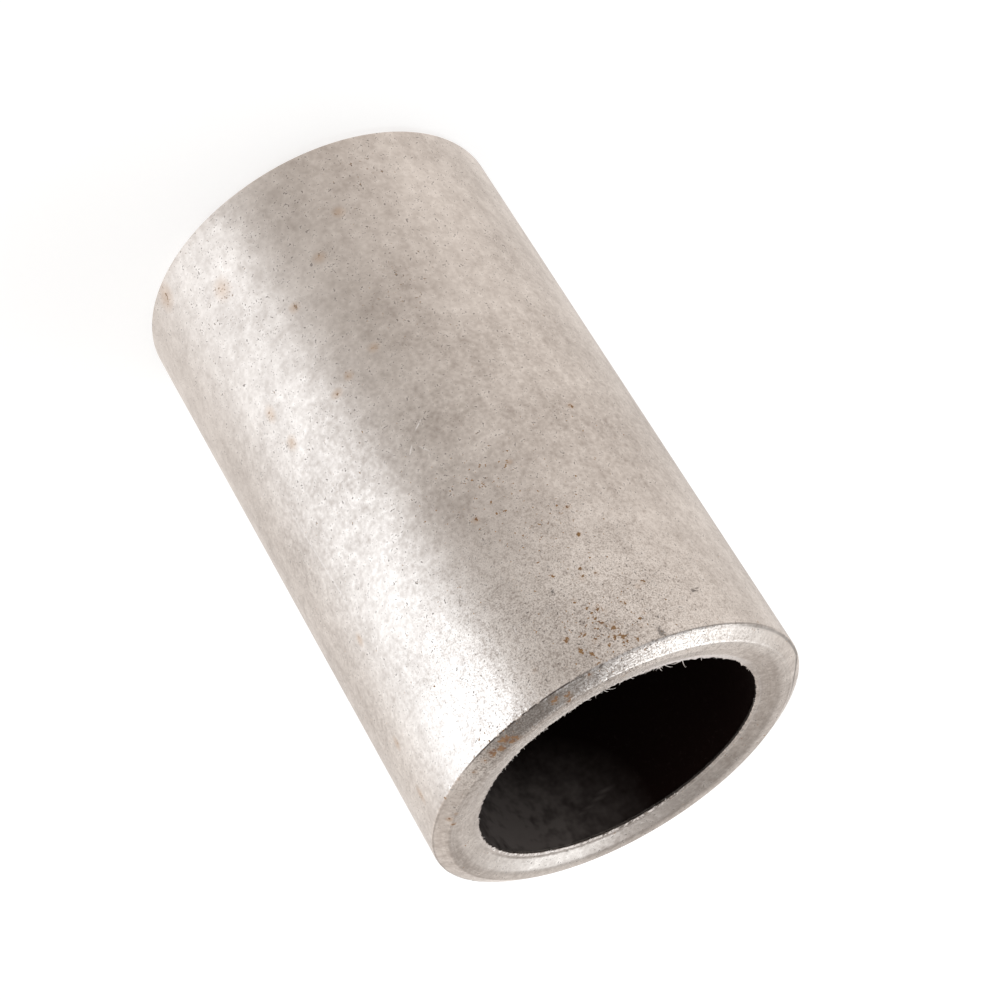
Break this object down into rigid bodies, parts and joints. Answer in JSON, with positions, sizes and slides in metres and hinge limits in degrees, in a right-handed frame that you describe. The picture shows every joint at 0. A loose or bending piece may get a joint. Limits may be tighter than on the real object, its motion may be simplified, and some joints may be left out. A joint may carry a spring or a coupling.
{
  "type": "spacer sleeve",
  "caption": "Short thick-walled steel tube with a plain through bore and bevelled, flat-landed ends, used to hold two parts a set distance apart on a bolt or shaft.",
  "frame": {"origin": "centre of the lower end, on the sleeve's axis", "axes": "+Z along the sleeve's axis, from the end it stands on to the other; X and Y are free, because the sleeve is round"},
  "size_m": [0.025, 0.025, 0.0423],
  "materials": {
    "steel": "bare steel, finely pitted, with small rust specks"
  },
  "bodies": {
    "root": {"sleeve": "steel"}
  },
  "joints": []
}
